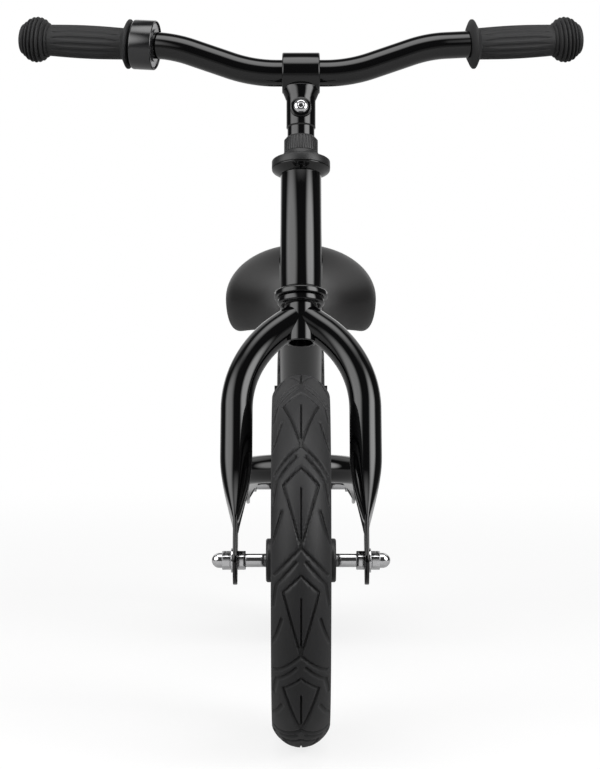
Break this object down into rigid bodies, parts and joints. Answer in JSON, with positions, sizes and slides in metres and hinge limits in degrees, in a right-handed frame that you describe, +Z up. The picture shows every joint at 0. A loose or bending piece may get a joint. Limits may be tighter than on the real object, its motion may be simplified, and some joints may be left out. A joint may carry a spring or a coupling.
{
  "type": "balance bike",
  "caption": "Children's balance bike: steel frame with a raked fork, foam-tyred moulded wheels, riser bar with ball-end grips and a twist bell, and a padded saddle on a sliding post.",
  "frame": {"origin": "on the ground midway between the two axles, in the bike's middle plane", "axes": "+Z up, -Y towards the front wheel, +X towards the rider's left-hand side"},
  "size_m": [0.4702, 0.836, 0.5738],
  "materials": {
    "frame_paint": "gloss black paint over steel tube",
    "tyre_foam": "matte foam with moulded tread",
    "rim_nylon": "satin moulded nylon",
    "headset_plastic": "satin moulded plastic",
    "grip_rubber": "matte rubber",
    "bell_plastic": "gloss moulded plastic",
    "saddle_vinyl": "satin grained vinyl over foam",
    "bright_plating": "bright plated steel",
    "bare_steel": "plain steel"
  },
  "bodies": {
    "frame": {"head_tube": "frame_paint", "main_tube": "frame_paint", "seat_tube": "frame_paint", "rear_yoke": "frame_paint", "upper_headset_cup": "headset_plastic", "lower_headset_cup": "headset_plastic", "seat_clamp_collar": "frame_paint", "seat_clamp_bolt": "frame_paint", "seat_clamp_nut": "frame_paint", "rear_axle": "bare_steel", "rear_hub_sleeve": "bare_steel", "rear_bearing_inner_races": "bare_steel", "rear_axle_spacers": "bright_plating", "rear_axle_locknuts": "bright_plating", "rear_axle_washers": "bright_plating", "rear_acorn_nuts": "bright_plating"},
    "fork": {"steerer_tube": "frame_paint", "fork_leg_left": "frame_paint", "fork_leg_right": "frame_paint", "crown_race": "frame_paint", "headset_cap": "headset_plastic", "stem_lock_collar": "headset_plastic", "front_axle": "bare_steel", "front_hub_sleeve": "bare_steel", "front_bearing_inner_races": "bare_steel", "front_axle_spacers": "bright_plating", "front_axle_locknuts": "bright_plating", "front_axle_washers": "bright_plating", "front_acorn_nuts": "bright_plating"},
    "front_wheel": {"front_rim": "rim_nylon", "front_tyre": "tyre_foam", "front_hub_caps": "headset_plastic", "front_bearing_outer_races": "bare_steel"},
    "rear_wheel": {"rear_rim": "rim_nylon", "rear_tyre": "tyre_foam", "rear_hub_caps": "headset_plastic", "rear_bearing_outer_races": "bare_steel"},
    "handlebar": {"stem": "frame_paint", "stem_clamp_bolt": "bright_plating", "stem_clamp_nut": "bright_plating", "handlebar": "frame_paint", "grip_left": "grip_rubber", "grip_right": "grip_rubber", "bell_base": "bell_plastic", "bell_gong": "bare_steel"},
    "bell_ring": {"bell_ring": "bell_plastic", "bell_striker": "bell_plastic"},
    "seat": {"seat_post": "frame_paint", "saddle_mount_plate": "frame_paint", "saddle_base": "headset_plastic", "saddle_pad": "saddle_vinyl", "saddle_screws": "bare_steel"}
  },
  "joints": [
    {"name": "steering", "type": "hinge", "parent": "frame", "child": "fork", "pos_m": [0, -0.17364, 0.34957], "axis": [0, 0.342, 0.9397], "continuous": true},
    {"name": "front_wheel_spin", "type": "hinge", "parent": "fork", "child": "front_wheel", "pos_m": [0, -0.274, 0.144], "axis": [1, 0, 0], "continuous": true},
    {"name": "rear_wheel_spin", "type": "hinge", "parent": "frame", "child": "rear_wheel", "pos_m": [0, 0.274, 0.144], "axis": [1, 0, 0], "continuous": true},
    {"name": "bar_height", "type": "slide", "parent": "fork", "child": "handlebar", "axis": [0, 0.342, 0.9397], "range_m": [-0.007, 0.06]},
    {"name": "seat_height", "type": "slide", "parent": "frame", "child": "seat", "axis": [0, 0.342, 0.9397], "range_m": [-0.015, 0.045]},
    {"name": "bell_twist", "type": "hinge", "parent": "handlebar", "child": "bell_ring", "pos_m": [-0.224, -0.07651, 0.55504], "axis": [-0.9794, 0.1941, 0.0559], "range_deg": [0, 40], "stiffness_Nm_per_rad": 0.05}
  ]
}
